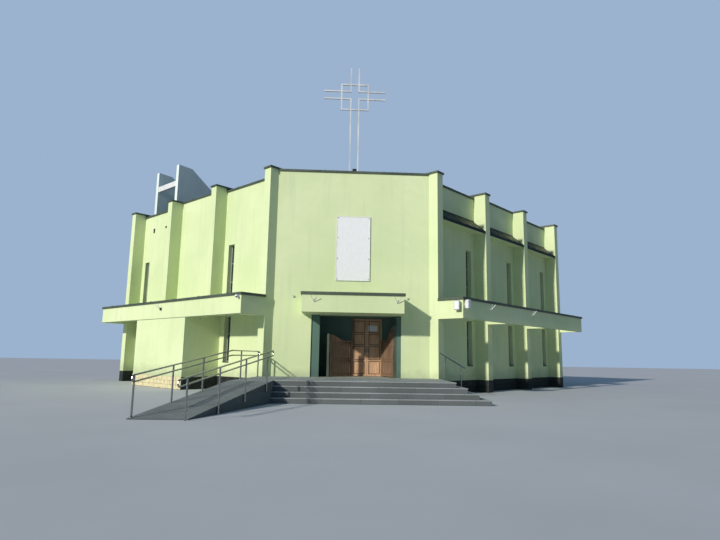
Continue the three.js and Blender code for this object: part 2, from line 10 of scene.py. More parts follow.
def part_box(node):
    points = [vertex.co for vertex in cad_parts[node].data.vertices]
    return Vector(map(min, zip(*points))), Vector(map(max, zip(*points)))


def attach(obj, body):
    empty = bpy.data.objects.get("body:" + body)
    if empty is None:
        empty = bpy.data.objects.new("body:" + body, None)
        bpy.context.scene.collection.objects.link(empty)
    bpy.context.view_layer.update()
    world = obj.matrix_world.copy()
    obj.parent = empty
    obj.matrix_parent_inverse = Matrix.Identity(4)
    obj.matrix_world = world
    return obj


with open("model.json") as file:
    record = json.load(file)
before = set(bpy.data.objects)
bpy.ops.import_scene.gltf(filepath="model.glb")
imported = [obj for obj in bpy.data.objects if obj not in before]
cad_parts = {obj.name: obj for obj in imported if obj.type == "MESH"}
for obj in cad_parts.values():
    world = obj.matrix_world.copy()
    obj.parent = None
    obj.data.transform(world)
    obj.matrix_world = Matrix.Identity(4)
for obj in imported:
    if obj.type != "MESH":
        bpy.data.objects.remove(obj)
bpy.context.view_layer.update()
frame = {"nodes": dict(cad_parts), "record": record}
nodes = frame["nodes"]
print("frame loaded,", len(nodes), "nodes")


# The hall's own lines, in metres, as the frame has them
hall = {
    "facade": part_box("front_wall")[0].y,  # outer face of the entrance wall
    "frontHalf": 3.07,  # half of the entrance wall
    "floor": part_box("landing")[1].z,
    "bay": 3.868,  # spacing of the fins along a side
    "bays": 3,
    "fin": 0.384,
    "finReach": 0.417,  # fins' outer face, out from the side line
    "wallFace": -0.18,  # walls' outer face, from the side line
    "wallThick": 0.35,
    "canopyEdge": 1.538,  # fascias' outer face, out from the side line
    "riser": 0.164,
    "tread": 0.306,
}
hall["sideEnd"] = hall["bays"] * hall["bay"] + hall["fin"]
hall["sideLength"] = math.sqrt(2) * hall["frontHalf"] + hall["sideEnd"]

# Along a side wall runs q, m runs out across it; y in the side's own frame is outward * m
sides = {
    "left": {"start": -hall["frontHalf"], "turn": 135, "outward": 1},
    "right": {"start": hall["frontHalf"], "turn": 45, "outward": -1},
}


def sidePlace(side):
    start = Matrix.Translation((sides[side]["start"], hall["facade"], 0))
    return start @ Matrix.Rotation(math.radians(sides[side]["turn"]), 4, "Z")


def onSide(side, q, m, z):
    return sidePlace(side) @ Vector((q, sides[side]["outward"] * m, z))


# Shaping
def block(bm, x0, x1, y0, y1, z0, z1, place=Matrix()):
    middle = Matrix.Translation(((x0 + x1) / 2, (y0 + y1) / 2, (z0 + z1) / 2))
    size = Matrix.Diagonal((abs(x1 - x0), abs(y1 - y0), abs(z1 - z0), 1))
    return bmesh.ops.create_cube(bm, size=1, matrix=place @ middle @ size)["verts"]


def sideBlock(bm, side, q0, q1, m0, m1, z0, z1):
    out = sides[side]["outward"]
    return block(bm, q0, q1, out * m0, out * m1, z0, z1, sidePlace(side))


# Four bars of an upright rim: each from and to along the wall, then from and to in height
def rimBars(x0, x1, z0, z1, wide):
    return [(x0, x0 + wide, z0, z1), (x1 - wide, x1, z0, z1),
            (x0 + wide, x1 - wide, z0, z0 + wide), (x0 + wide, x1 - wide, z1 - wide, z1)]


def rod(bm, start, end, radius, endRadius=None, flats=16):
    start, end = Vector(start), Vector(end)
    way = end - start
    place = Matrix.Translation((start + end) / 2) @ way.to_track_quat("Z", "Y").to_matrix().to_4x4()
    endRadius = radius if endRadius is None else endRadius
    return bmesh.ops.create_cone(bm, cap_ends=True, segments=flats, radius1=radius,
                                 radius2=endRadius, depth=way.length, matrix=place)["verts"]


def ball(bm, middle, radius, rings=10):
    place = Matrix.Translation(middle)
    return bmesh.ops.create_uvsphere(bm, u_segments=2 * rings, v_segments=rings, radius=radius,
                                     matrix=place)["verts"]


def soften(bm, width, segments=2):
    bmesh.ops.bevel(bm, geom=bm.edges[:], offset=width, offset_type="OFFSET", affect="EDGES",
                    segments=segments, profile=0.5, material=-1)


def finishPiece(bm, name, body, finish, smooth=False):
    bmesh.ops.recalc_face_normals(bm, faces=bm.faces)
    for face in bm.faces:
        face.smooth = smooth
    mesh = bpy.data.meshes.new(name)
    bm.to_mesh(mesh)
    bm.free()
    mesh.materials.append(finishes[finish])
    piece = bpy.data.objects.new(name, mesh)
    bpy.context.scene.collection.objects.link(piece)
    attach(piece, body)


# Finishes
def newFinish(name, roughness, metallic=0.0):
    finish = bpy.data.materials.new(name)
    finish.use_nodes = True
    tree = finish.node_tree
    shader = tree.nodes["Principled BSDF"]
    shader.inputs["Roughness"].default_value = roughness
    shader.inputs["Metallic"].default_value = metallic
    place = tree.nodes.new("ShaderNodeTexCoord").outputs["Object"]
    return finish, tree, shader, place


def stretched(tree, place, scale=(1, 1, 1), turn=0.0):
    mapping = tree.nodes.new("ShaderNodeMapping")
    mapping.inputs["Scale"].default_value = scale
    mapping.inputs["Rotation"].default_value = (0, 0, math.radians(turn))
    tree.links.new(place, mapping.inputs["Vector"])
    return mapping.outputs["Vector"]


# Noises of the finishes: scale, detail and roughness
noises = {
    "plasterClouds": (0.28, 5, 0.6),
    "plasterPatches": (2.3, 6, 0.65),
    "rainRuns": (1.6, 5, 0.6),
    "splashEdge": (1.9, 4, 0.55),
    "plasterGrain": (55, 3, 0.55),
    "trowelMarks": (3.2, 4, 0.55),
    "metalClouds": (1.4, 6, 0.6),
    "metalStreaks": (2.0, 3, 0.55),
    "stoneSpeckle": (85, 2, 0.7),
    "stoneClouds": (0.9, 5, 0.65),
    "jointBends": (5, 2, 0.55),
    "stonePits": (9, 6, 0.7),
    "woodGrain": (1.5, 6, 0.6),
    "woodPatches": (1.7, 4, 0.55),
    "steelClouds": (14, 4, 0.55),
    "plasticClouds": (2.5, 5, 0.55),
    "glassClouds": (1.1, 3, 0.55),
    "roofClouds": (1.2, 6, 0.7),
    "roofGrain": (60, 2, 0.55),
    "floorClouds": (0.3, 3, 0.55),
}


def cloudy(tree, place, name):
    noise = tree.nodes.new("ShaderNodeTexNoise")
    for socket, number in zip(("Scale", "Detail", "Roughness"), noises[name]):
        noise.inputs[socket].default_value = number
    tree.links.new(place, noise.inputs["Vector"])
    return noise.outputs["Fac"]


def shades(tree, value, *stops):
    ramp = tree.nodes.new("ShaderNodeValToRGB")
    marks = ramp.color_ramp.elements
    while len(marks) < len(stops):
        marks.new(0.5)
    for mark, (position, colour) in zip(marks, stops):
        mark.position = position
        mark.color = (*colour, 1)
    tree.links.new(value, ramp.inputs["Fac"])
    return ramp.outputs["Color"]


def ranged(tree, value, low, high, first=0.0, last=1.0):
    spread = tree.nodes.new("ShaderNodeMapRange")
    for name, number in (("From Min", low), ("From Max", high), ("To Min", first), ("To Max", last)):
        spread.inputs[name].default_value = number
    tree.links.new(value, spread.inputs["Value"])
    return spread.outputs["Result"]


def sums(tree, how, first, second):
    node = tree.nodes.new("ShaderNodeMath")
    node.operation = how
    for socket, value in zip(node.inputs, (first, second)):
        if isinstance(value, (int, float)):
            socket.default_value = value
        else:
            tree.links.new(value, socket)
    return node.outputs["Value"]


def mixed(tree, amount, first, second, mode="MIX"):
    node = tree.nodes.new("ShaderNodeMix")
    node.data_type = "RGBA"
    node.blend_type = mode
    for socket, value in ((node.inputs[0], amount), (node.inputs[6], first), (node.inputs[7], second)):
        if isinstance(value, (int, float)):
            socket.default_value = value
        elif isinstance(value, tuple):
            socket.default_value = (*value, 1)
        else:
            tree.links.new(value, socket)
    return node.outputs[2]


def axes(tree, place):
    parts = tree.nodes.new("ShaderNodeSeparateXYZ")
    tree.links.new(place, parts.inputs["Vector"])
    return parts.outputs["X"], parts.outputs["Y"], parts.outputs["Z"]


def bumped(tree, shader, height, depth, strength):
    bump = tree.nodes.new("ShaderNodeBump")
    bump.inputs["Distance"].default_value = depth
    bump.inputs["Strength"].default_value = strength
    tree.links.new(height, bump.inputs["Height"])
    tree.links.new(bump.outputs["Normal"], shader.inputs["Normal"])


def coloured(tree, shader, colour):
    tree.links.new(colour, shader.inputs["Base Color"])


plaster = {
    "pale": (0.71, 0.80, 0.475),
    "deep": (0.61, 0.715, 0.395),
    "rain": (0.50, 0.60, 0.39),  # grey-green where rain runs down
    "splash": (0.36, 0.42, 0.26),  # splashed foot of the wall
    "splashTop": 1.05,
}


def plasterColour(tree, place, pale, deep, rain, splash):
    wide = cloudy(tree, place, "plasterClouds")
    base = shades(tree, wide, (0.36, deep), (0.64, pale))
    patches = ranged(tree, cloudy(tree, place, "plasterPatches"), 0.42, 0.75, 0, 0.35)
    base = mixed(tree, patches, base, deep)
    runs = cloudy(tree, stretched(tree, place, (2.6, 2.6, 0.16)), "rainRuns")
    base = mixed(tree, ranged(tree, runs, 0.52, 0.78, 0, 0.4), base, rain)
    height = axes(tree, place)[2]
    wet = sums(tree, "ADD", height, ranged(tree, cloudy(tree, place, "splashEdge"), 0, 1, -0.4, 0.4))
    return mixed(tree, ranged(tree, wet, 0.6, plaster["splashTop"], 0.55, 0), base, splash)


def plasterFinish(name="green render", pale=plaster["pale"], deep=plaster["deep"],
                  rain=plaster["rain"], splash=plaster["splash"]):
    finish, tree, shader, place = newFinish(name, 0.92)
    coloured(tree, shader, plasterColour(tree, place, pale, deep, rain, splash))
    grain = cloudy(tree, place, "plasterGrain")
    trowel = cloudy(tree, place, "trowelMarks")
    height = sums(tree, "ADD", sums(tree, "MULTIPLY", grain, 0.5), trowel)
    bumped(tree, shader, height, 0.006, 0.6)
    return finish


def sheetMetal(name, light, dark, roughness=0.45, metallic=0.55):
    finish, tree, shader, place = newFinish(name, roughness, metallic)
    cloud = cloudy(tree, place, "metalClouds")
    streak = cloudy(tree, stretched(tree, place, (8, 8, 0.8)), "metalStreaks")
    value = sums(tree, "MULTIPLY", sums(tree, "ADD", cloud, streak), 0.5)
    coloured(tree, shader, shades(tree, value, (0.35, dark), (0.65, light)))
    rough = ranged(tree, cloud, 0.3, 0.7, roughness - 0.08, roughness + 0.12)
    tree.links.new(rough, shader.inputs["Roughness"])
    bumped(tree, shader, cloud, 0.004, 0.4)
    return finish


# Joints as a mask, and a tone for each stone between them
def jointsOf(tree, place, width, height, joint):
    brick = tree.nodes.new("ShaderNodeTexBrick")
    brick.offset = 0.5  # each row starts half a stone further on
    brick.inputs["Scale"].default_value = 1.0
    brick.inputs["Brick Width"].default_value = width
    brick.inputs["Row Height"].default_value = height
    brick.inputs["Mortar Size"].default_value = joint
    brick.inputs["Mortar Smooth"].default_value = 0.3
    brick.inputs["Color1"].default_value = (0.35, 0.35, 0.35, 1)
    brick.inputs["Color2"].default_value = (0.65, 0.65, 0.65, 1)
    tree.links.new(place, brick.inputs["Vector"])
    return brick.outputs["Fac"], brick.outputs["Color"]


# 1 where a face lies flat, 0 where it stands upright
def lyingMask(tree):
    normal = tree.nodes.new("ShaderNodeNewGeometry").outputs["Normal"]
    return ranged(tree, sums(tree, "ABSOLUTE", axes(tree, normal)[2], 0), 0.6, 0.8)


# Flat faces have slabs in plan, upright ones have blocks that are as high as a step. Where a side tone is
# given, upright faces are mixed three quarters of the way to it: painted shade that darkens them.
def slabFinish(name, pale, dark, slab, rise, joint=0.006, side=None):
    finish, tree, shader, place = newFinish(name, 0.82)
    x, y, z = axes(tree, place)
    upright = tree.nodes.new("ShaderNodeCombineXYZ")
    tree.links.new(sums(tree, "ADD", x, y), upright.inputs["X"])
    tree.links.new(z, upright.inputs["Y"])
    lying = lyingMask(tree)
    topJoint, topTone = jointsOf(tree, place, *slab, joint)
    sideJoint, sideTone = jointsOf(tree, upright.outputs["Vector"], *rise, joint)
    speckle = cloudy(tree, place, "stoneSpeckle")
    cloud = cloudy(tree, place, "stoneClouds")
    value = sums(tree, "ADD", sums(tree, "MULTIPLY", speckle, 0.45), sums(tree, "MULTIPLY", cloud, 0.55))
    base = shades(tree, value, (0.38, dark), (0.62, pale))
    # painted shade: upright faces turned darker towards the side tone
    if side:
        base = mixed(tree, lying, mixed(tree, 0.75, base, side), base)
    tone = mixed(tree, lying, sideTone, topTone)
    base = mixed(tree, 0.3, base, tone, "OVERLAY")
    joints = mixed(tree, lying, sideJoint, topJoint)
    grime = tuple(part * 0.35 for part in dark)
    coloured(tree, shader, mixed(tree, joints, base, grime))
    height = sums(tree, "SUBTRACT", sums(tree, "MULTIPLY", speckle, 0.15), joints)
    bumped(tree, shader, height, 0.004, 0.8)
    return finish


def roughStone(name, pale, dark, width, row):
    finish, tree, shader, place = newFinish(name, 0.9)
    x, y, z = axes(tree, place)
    upright = tree.nodes.new("ShaderNodeCombineXYZ")
    bend = ranged(tree, cloudy(tree, place, "jointBends"), 0, 1, -0.05, 0.05)
    tree.links.new(sums(tree, "ADD", sums(tree, "ADD", x, y), bend), upright.inputs["X"])
    tree.links.new(sums(tree, "ADD", z, bend), upright.inputs["Y"])
    joint, tone = jointsOf(tree, upright.outputs["Vector"], width, row, 0.012)
    cloud = cloudy(tree, place, "stonePits")
    base = mixed(tree, 0.5, shades(tree, cloud, (0.35, dark), (0.65, pale)), tone, "OVERLAY")
    coloured(tree, shader, mixed(tree, joint, base, tuple(part * 0.6 for part in dark)))
    bumped(tree, shader, sums(tree, "SUBTRACT", cloud, joint), 0.018, 0.8)
    return finish


# Timber of upright boards on a leaf that stands turned by some degrees
def timber(name, turn, boards, pale, dark):
    finish, tree, shader, place = newFinish(name, 0.55)
    along = stretched(tree, place, turn=-turn)
    grain = cloudy(tree, stretched(tree, along, (24, 24, 1.1)), "woodGrain")
    patch = cloudy(tree, along, "woodPatches")
    value = sums(tree, "ADD", sums(tree, "MULTIPLY", grain, 0.65), sums(tree, "MULTIPLY", patch, 0.35))
    base = shades(tree, value, (0.36, dark), (0.62, pale))
    wave = tree.nodes.new("ShaderNodeTexWave")
    wave.inputs["Scale"].default_value = math.pi / 10 / boards  # one band a board
    tree.links.new(along, wave.inputs["Vector"])
    groove = ranged(tree, wave.outputs["Fac"], 0.0, 0.07, 1, 0)
    coloured(tree, shader, mixed(tree, sums(tree, "MULTIPLY", groove, 0.75), base, (0.03, 0.016, 0.01)))
    bumped(tree, shader, sums(tree, "SUBTRACT", sums(tree, "MULTIPLY", grain, 0.3), groove), 0.004, 0.8)
    return finish


def steel(name, colour, roughness):
    finish, tree, shader, place = newFinish(name, roughness, 1.0)
    cloud = cloudy(tree, place, "steelClouds")
    dim = tuple(part * 0.72 for part in colour)
    coloured(tree, shader, shades(tree, cloud, (0.3, dim), (0.65, colour)))
    tree.links.new(ranged(tree, cloud, 0.3, 0.7, roughness - 0.07, roughness + 0.1),
                   shader.inputs["Roughness"])
    return finish


def plastic(name, colour, roughness, dirt=0.12):
    finish, tree, shader, place = newFinish(name, roughness)
    cloud = cloudy(tree, stretched(tree, place, (6, 6, 2)), "plasticClouds")
    dull = tuple(part * (1 - 2.5 * dirt) for part in colour)
    coloured(tree, shader, shades(tree, cloud, (0.3, dull), (0.6, colour)))
    bumped(tree, shader, cloud, 0.002, 0.3)
    return finish


def glazing(name):
    finish, tree, shader, place = newFinish(name, 0.06)
    cloud = cloudy(tree, place, "glassClouds")
    coloured(tree, shader, shades(tree, cloud, (0.3, (0.010, 0.016, 0.015)), (0.7, (0.035, 0.05, 0.046))))
    shader.inputs["Coat Weight"].default_value = 0.5
    tree.links.new(ranged(tree, cloud, 0.3, 0.7, 0.04, 0.12), shader.inputs["Roughness"])
    return finish


def membrane(name):
    finish, tree, shader, place = newFinish(name, 0.95)
    joint = jointsOf(tree, stretched(tree, place, turn=45), 6.0, 1.0, 0.012)[0]
    cloud = cloudy(tree, place, "roofClouds")
    base = shades(tree, cloud, (0.35, (0.045, 0.05, 0.048)), (0.65, (0.10, 0.105, 0.10)))
    coloured(tree, shader, mixed(tree, joint, base, (0.03, 0.032, 0.031)))
    bumped(tree, shader, sums(tree, "ADD", joint, cloudy(tree, place, "roofGrain")), 0.004, 0.6)
    return finish


unjointed = (40, 40)  # stones wider and higher than the piece, so no joint shows
finishes = {
    "render": plasterFinish(),
    "coping": sheetMetal("dark coping metal", (0.11, 0.14, 0.10), (0.06, 0.08, 0.058), 0.5, 0.3),
    # passage: a dark teal, darkened to paint in the deep shade inside the passage
    "passage": plasterFinish("passage paint", (0.115, 0.205, 0.165), (0.085, 0.155, 0.125),
                             (0.07, 0.12, 0.10), (0.05, 0.09, 0.075)),
    # the paving's dark side tone is painted shade on the risers and other upright faces
    "paving": slabFinish("granite slabs", (0.33, 0.36, 0.36), (0.20, 0.22, 0.22), (0.6, hall["tread"]),
                         (1.2, hall["riser"]), side=(0.06, 0.072, 0.073)),
    "nosing": slabFinish("pale nosing stone", (0.37, 0.40, 0.39), (0.25, 0.27, 0.27), (1.2, 3.0),
                         (1.2, 3.0)),
    # the ramp's dark side tone is painted shade on its upright sides
    "ramp": slabFinish("ramp paving", (0.22, 0.25, 0.25), (0.14, 0.16, 0.16), (0.2, 0.1),
                       (0.8, 0.4), joint=0.005, side=(0.065, 0.088, 0.078)),
    "plinth": roughStone("plinth stone", (0.030, 0.040, 0.035), (0.012, 0.018, 0.016), 0.6, 0.265),
    "footing": roughStone("footing stone", (0.80, 0.74, 0.47), (0.56, 0.50, 0.29), *unjointed),
    "mortar": roughStone("footing mortar", (0.46, 0.44, 0.32), (0.32, 0.30, 0.21), *unjointed),
    "tower": plasterFinish("white tower render", (0.80, 0.90, 0.84), (0.68, 0.77, 0.73),
                           (0.50, 0.57, 0.54), (0.55, 0.6, 0.56)),
    "beam": plastic("white painted beam", (0.80, 0.82, 0.80), 0.5),
    "floor": slabFinish("hall floor tiles", (0.46, 0.45, 0.42), (0.33, 0.32, 0.30), (0.4, 0.4),
                        (0.4, 0.4)),
    "roofing": membrane("roof membrane"),
    "rails": steel("brushed rail steel", (0.42, 0.42, 0.39), 0.2),
    "cross": sheetMetal("bright cross steel", (0.84, 0.84, 0.82), (0.68, 0.69, 0.69), 0.4, 0.4),
    "iron": sheetMetal("dark painted iron", (0.05, 0.052, 0.05), (0.02, 0.022, 0.021), 0.4, 0.6),
    "frames": plastic("grey window frames", (0.42, 0.44, 0.43), 0.45),
    "glass": glazing("dark window glass"),
    "white": plastic("white plastic", (0.80, 0.81, 0.79), 0.4, 0.08),
    # beads: timber darker than the leaves, painted shade for the shadow lines round the panels
    "beads": timber("bead timber darkened as painted shade", 0, 2.6, (0.20, 0.125, 0.075), (0.10, 0.06, 0.038)),
    "eaves": sheetMetal("dark eaves sheet", (0.026, 0.038, 0.032), (0.012, 0.018, 0.016)),
    "panel": plastic("blank white panel", (0.82, 0.84, 0.84), 0.55, 0.025),
}

slotFinish = {
    "render": "render", "coping": "coping", "passage_paint": "passage", "paving_stone": "paving",
    "rail_steel": "rails", "cross_steel": "cross", "tower_render": "tower", "beam_white": "beam",
    "plinth_stone": "plinth", "floor_stone": "floor", "roofing": "roofing",
}
slotOf = {row["node"]: row["material_slot"] for row in frame["record"]["subparts"]}
gateTurns = {"left": 43.6, "right": -73}  # degrees that the gates stand open at rest
doorTurns = {"door_leaf_left": 0, "door_leaf_right": 0,
             "gate_left": gateTurns["left"], "gate_right": gateTurns["right"]}
doorTimber = {
    "door": {"boards": 2.6, "pale": (0.72, 0.46, 0.27), "dark": (0.42, 0.25, 0.14)},
    "gate": {"boards": 0.107, "pale": (0.31, 0.195, 0.12), "dark": (0.13, 0.08, 0.052)},
}
for name, node in nodes.items():
    if name in doorTurns:
        kind = name.split("_")[0]
        finish = timber("timber of " + name.replace("_", " "), doorTurns[name], **doorTimber[kind])
    elif name == "entrance_ramp":
        finish = finishes["ramp"]
    else:
        finish = finishes[slotFinish[slotOf[name]]]
    node.material_slots[0].material = finish
print("finishes given to", len(nodes), "nodes")


# Windows: a metal frame with one or two bars, dark glass and a folded sill in every slot
window = {
    "lower": (1.146, 3.090),  # foot and head of the slots
    "upper": (3.850, 6.256),
    "width": 0.44,
    "start": 0.77,  # from the next fin back to the slot
    "setBack": 0.18,  # frame's face, in from the wall's face
    "frame": 0.032,
    "depth": 0.05,
    "glass": 0.014,
    "glassAt": 0.4,  # place of the pane's back in the frame's depth
    "rebate": 0.6,  # share of the frame's width that the pane leaves free
    "bars": {"lower": (0.62,), "upper": (0.32, 0.66)},
    "play": 0.0005,
    "round": 0.004,
    "sill": 0.03,  # how far the sill reaches out
    "sillThick": 0.014,
    "sillEdge": 0.006,
    "sillDrop": 0.03,
    "rearCount": 4,
}


def windowParts(name, slots, put):
    frames, panes, sills = bmesh.new(), bmesh.new(), bmesh.new()
    thick, face, play = window["frame"], -window["setBack"], window["play"]
    rear = face - window["depth"]
    pane = rear + window["glassAt"] * window["depth"]
    rebate = window["rebate"] * thick
    lip = window["sill"]
    for (start, end), level in slots:
        u0, u1 = start + play, end - play
        z0, z1 = window[level][0] + play, window[level][1] - play
        bars = rimBars(u0, u1, z0, z1, thick)
        for share in window["bars"][level]:
            middle = z0 + (z1 - z0) * share
            bars.append((u0 + thick, u1 - thick, middle - thick / 2, middle + thick / 2))
        for a0, a1, b0, b1 in bars:
            put(frames, a0, a1, rear, face, b0, b1)
        put(panes, u0 + rebate, u1 - rebate, pane, pane + window["glass"], z0 + rebate, z1 - rebate)
        put(sills, u0, u1, face, lip, z0, z0 + window["sillThick"])
        put(sills, u0, u1, lip - window["sillEdge"], lip, z0 - window["sillDrop"], z0)
    soften(frames, window["round"], 1)
    for bm, label, finish in ((frames, "frames", "frames"), (panes, "glass", "glass"),
                              (sills, "sills", "coping")):
        finishPiece(bm, name + "_window_" + label, "building", finish)


def sideSlots(bays):
    found = []
    for n in bays:
        start = n * hall["bay"] - window["start"]
        found += [((start, start + window["width"]), level) for level in ("lower", "upper")]
    return found


def rearSlots():
    found = []
    for n in range(1, window["rearCount"] + 1):
        end = -n * hall["sideLength"] / window["rearCount"] + window["start"]
        found += [((end - window["width"], end), level) for level in ("lower", "upper")]
    return found


# Each gives a function that lays a window's blocks, with u along the wall and v out from its face
def sideWindowBlock(side):
    face = hall["wallFace"]
    return lambda bm, u0, u1, v0, v1, z0, z1: sideBlock(bm, side, u0, u1, face + v0, face + v1, z0, z1)


def rearWindowBlock(side):
    face = hall["sideEnd"]
    return lambda bm, u0, u1, v0, v1, z0, z1: sideBlock(bm, side, face + v0, face + v1, u0, u1, z0, z1)


windowParts("left", sideSlots((1, 3)), sideWindowBlock("left"))
windowParts("right", sideSlots((1, 2, 3)), sideWindowBlock("right"))
windowParts("rear_left", rearSlots(), rearWindowBlock("left"))
windowParts("rear_right", rearSlots(), rearWindowBlock("right"))
print("windows fitted")


# Seams on the copings: a strip across the top and another down the outer fold
seam = {
    "wide": 0.012,
    "high": 0.018,
    "sink": 0.002,
    "proud": 0.006,
    "lip": 0.045,  # how far the copings reach past the walls
    "parapet": {"tops": (8.83, 8.98, 8.83), "first": 0.6, "pitch": 1.0, "last": 0.3, "drop": 0.085},
    "canopy": {"deep": 0.235, "first": 0.9, "pitch": 2.0, "last": 0.5, "drop": 0.1},
    "front": {"deep": 0.39, "pitch": 1.2, "eachWay": 2, "drop": 0.085},
}


def foldedSeam(put, place, back, edge, top, drop):
    end, high = place + seam["wide"], top + seam["high"]
    put(place, end, back, edge, top - seam["sink"], high)
    put(place, end, edge - seam["sink"], edge + seam["proud"], top - drop, high)


def sideSeams(bm, side):
    def put(*sizes):
        sideBlock(bm, side, *sizes)

    row = seam["parapet"]
    back = hall["wallFace"] - hall["wallThick"] - seam["lip"]
    for n in range(hall["bays"]):
        q = n * hall["bay"] + hall["fin"] + row["first"]
        while q < (n + 1) * hall["bay"] - row["last"]:
            foldedSeam(put, q, back, hall["wallFace"] + seam["lip"], row["tops"][n], row["drop"])
            q += row["pitch"]
    row = seam["canopy"]
    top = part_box(side + "_canopy_coping")[1].z
    edge = hall["canopyEdge"] + seam["lip"]
    q = row["first"]
    while q < hall["sideEnd"] - row["last"]:
        foldedSeam(put, q, edge - row["deep"], edge, top, row["drop"])
        q += row["pitch"]


def frontSeams(bm):
    def put(x0, x1, out0, out1, z0, z1):
        block(bm, x0, x1, hall["facade"] - out0, hall["facade"] - out1, z0, z1)

    row = seam["front"]
    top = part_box("front_coping")[1].z
    for n in range(-row["eachWay"], row["eachWay"] + 1):
        foldedSeam(put, n * row["pitch"], -row["deep"], seam["lip"], top, row["drop"])


def copingSeams():
    bm = bmesh.new()
    for side in sides:
        sideSeams(bm, side)
    frontSeams(bm)
    finishPiece(bm, "coping_seams", "building", "coping")


copingSeams()


# Dark sheet metal over the right side's sloping eaves, with a folded edge and standing seams
eaves = {
    "top": 7.68,  # at the wall
    "lip": 7.18,  # at the outer edge
    "soffit": 7.08,
    "reach": 0.40,
    "seat": 0.001,  # play between sheet and solid
    "end": 0.002,  # play between sheet and fin
    "sheet": 0.008,
    "fold": 0.006,
    "upstand": 0.05,
    "edge": 0.014,
    "drip": 0.025,
    "seams": {"first": 0.3, "pitch": 0.6, "last": 0.1, "wide": 0.012, "high": 0.022},
}


# A block whose outer edge, away from the wall, is lowered by a fall
def slopedBlock(bm, side, q0, q1, m0, m1, z0, z1, fall):
    inverse = sidePlace(side).inverted()
    for vert in sideBlock(bm, side, q0, q1, m0, m1, z0, z1):
        m = sides[side]["outward"] * (inverse @ vert.co).y
        vert.co.z -= fall * (m - m0) / (m1 - m0)


def eavesSheets():
    bm = bmesh.new()
    seams, sheet, reach = eaves["seams"], eaves["sheet"], eaves["reach"]
    wall = hall["wallFace"] + eaves["seat"]
    top, lip = eaves["top"] + eaves["seat"], eaves["lip"] + eaves["seat"]
    for n in range(hall["bays"]):
        q0 = n * hall["bay"] + hall["fin"] + eaves["end"]
        q1 = (n + 1) * hall["bay"] - eaves["end"]
        slopedBlock(bm, "right", q0, q1, wall, reach, top, top + sheet, top - lip)
        sideBlock(bm, "right", q0, q1, wall, wall + eaves["fold"], top, top + eaves["upstand"])
        sideBlock(bm, "right", q0, q1, reach + eaves["seat"], reach + eaves["edge"],
                  eaves["soffit"] - eaves["drip"], lip + sheet)
        q = q0 + seams["first"]
        while q < q1 - seams["last"]:
            slopedBlock(bm, "right", q, q + seams["wide"], wall, reach, top, top + seams["high"],
                        top - lip)
            q += seams["pitch"]
    finishPiece(bm, "eaves_sheets", "building", "eaves")


eavesSheets()
print("copings and eaves done")


# Blank white panel on the facade, in a slim rim and held by screws
panel = {
    "half": 0.68,
    "low": 4.416,
    "high": 7.036,
    "thick": 0.012,
    "stand": 0.02,  # from the wall to the panel's back
    "round": 0.003,
    "rim": {"wide": 0.028, "proud": 0.008, "sink": 0.002, "round": 0.002},
    "screws": {"rows": 4, "inset": 0.06, "shaft": 0.012, "shaftEnd": 0.006,
               "head": (0.02, 0.015), "headFrom": 0.004, "headEnd": 0.012},
}


def facadePanel():
    sheet, rim, pins = bmesh.new(), bmesh.new(), bmesh.new()
    half, low, high = panel["half"], panel["low"], panel["high"]
    back = hall["facade"] - panel["stand"]
    front = back - panel["thick"]
    block(sheet, -half, half, front, back, low, high)
    soften(sheet, panel["round"])
    edge = panel["rim"]
    for x0, x1, z0, z1 in rimBars(-half, half, low, high, edge["wide"]):
        block(rim, x0, x1, front - edge["proud"], front + edge["sink"], z0, z1)
    soften(rim, edge["round"], 1)
    screws = panel["screws"]
    inset = screws["inset"]
    for x in (-half + inset, half - inset):
        for n in range(screws["rows"]):
            z = low + inset + n * (high - low - 2 * inset) / (screws["rows"] - 1)
            rod(pins, (x, hall["facade"], z), (x, front - screws["shaftEnd"], z), screws["shaft"], flats=12)
            rod(pins, (x, front - screws["headFrom"], z), (x, front - screws["headEnd"], z),
                *screws["head"], flats=12)
    finishPiece(sheet, "facade_panel", "building", "panel")
    finishPiece(rim, "facade_panel_rim", "building", "white")
    finishPiece(pins, "facade_panel_screws", "building", "rails")


facadePanel()


# Loudspeakers: cabinets that taper towards their backs, with ribbed grilles
speakers = [
    {"place": ("end", 1.37, 3.44), "size": (0.25, 0.16, 0.37), "finish": "frames"},
    {"place": ("fascia", 0.16, 3.486), "size": (0.23, 0.16, 0.36), "finish": "white"},
]
cabinet = {
    "stand": 0.03,  # from the wall to the cabinet's back
    "taper": (0.7, 0.82),  # width and height of the back, as shares of the front's
    "round": 0.02,
    "bracket": {"out": (-0.002, 0.05), "halfWide": 0.05, "halfHigh": 0.06},
    "grille": {"margin": 0.03, "thick": 0.006},
    "ribs": {"count": 7, "out": (0.004, 0.011), "aside": 0.035, "margin": 0.05, "half": 0.006},
}


def speakerPlace(wall, along, z):
    if wall == "end":  # on the canopy's near end, which faces the entrance side
        spot, turn = (0, -along, z), math.pi
    else:
        spot, turn = (along, -hall["canopyEdge"], z), -math.pi / 2
    return sidePlace("right") @ Matrix.Translation(spot) @ Matrix.Rotation(turn, 4, "Z")


def speakerCabinet(place, width, deep, high):
    bm = bmesh.new()
    back, bracket = cabinet["stand"], cabinet["bracket"]
    inverse = place.inverted()
    for vert in block(bm, back, back + deep, -width / 2, width / 2, -high / 2, high / 2, place):
        local = inverse @ vert.co
        if local.x < back + deep / 2:
            local.y *= cabinet["taper"][0]
            local.z *= cabinet["taper"][1]
            vert.co = place @ local
    block(bm, *bracket["out"], -bracket["halfWide"], bracket["halfWide"], -bracket["halfHigh"],
          bracket["halfHigh"], place)
    soften(bm, cabinet["round"], 3)
    return bm


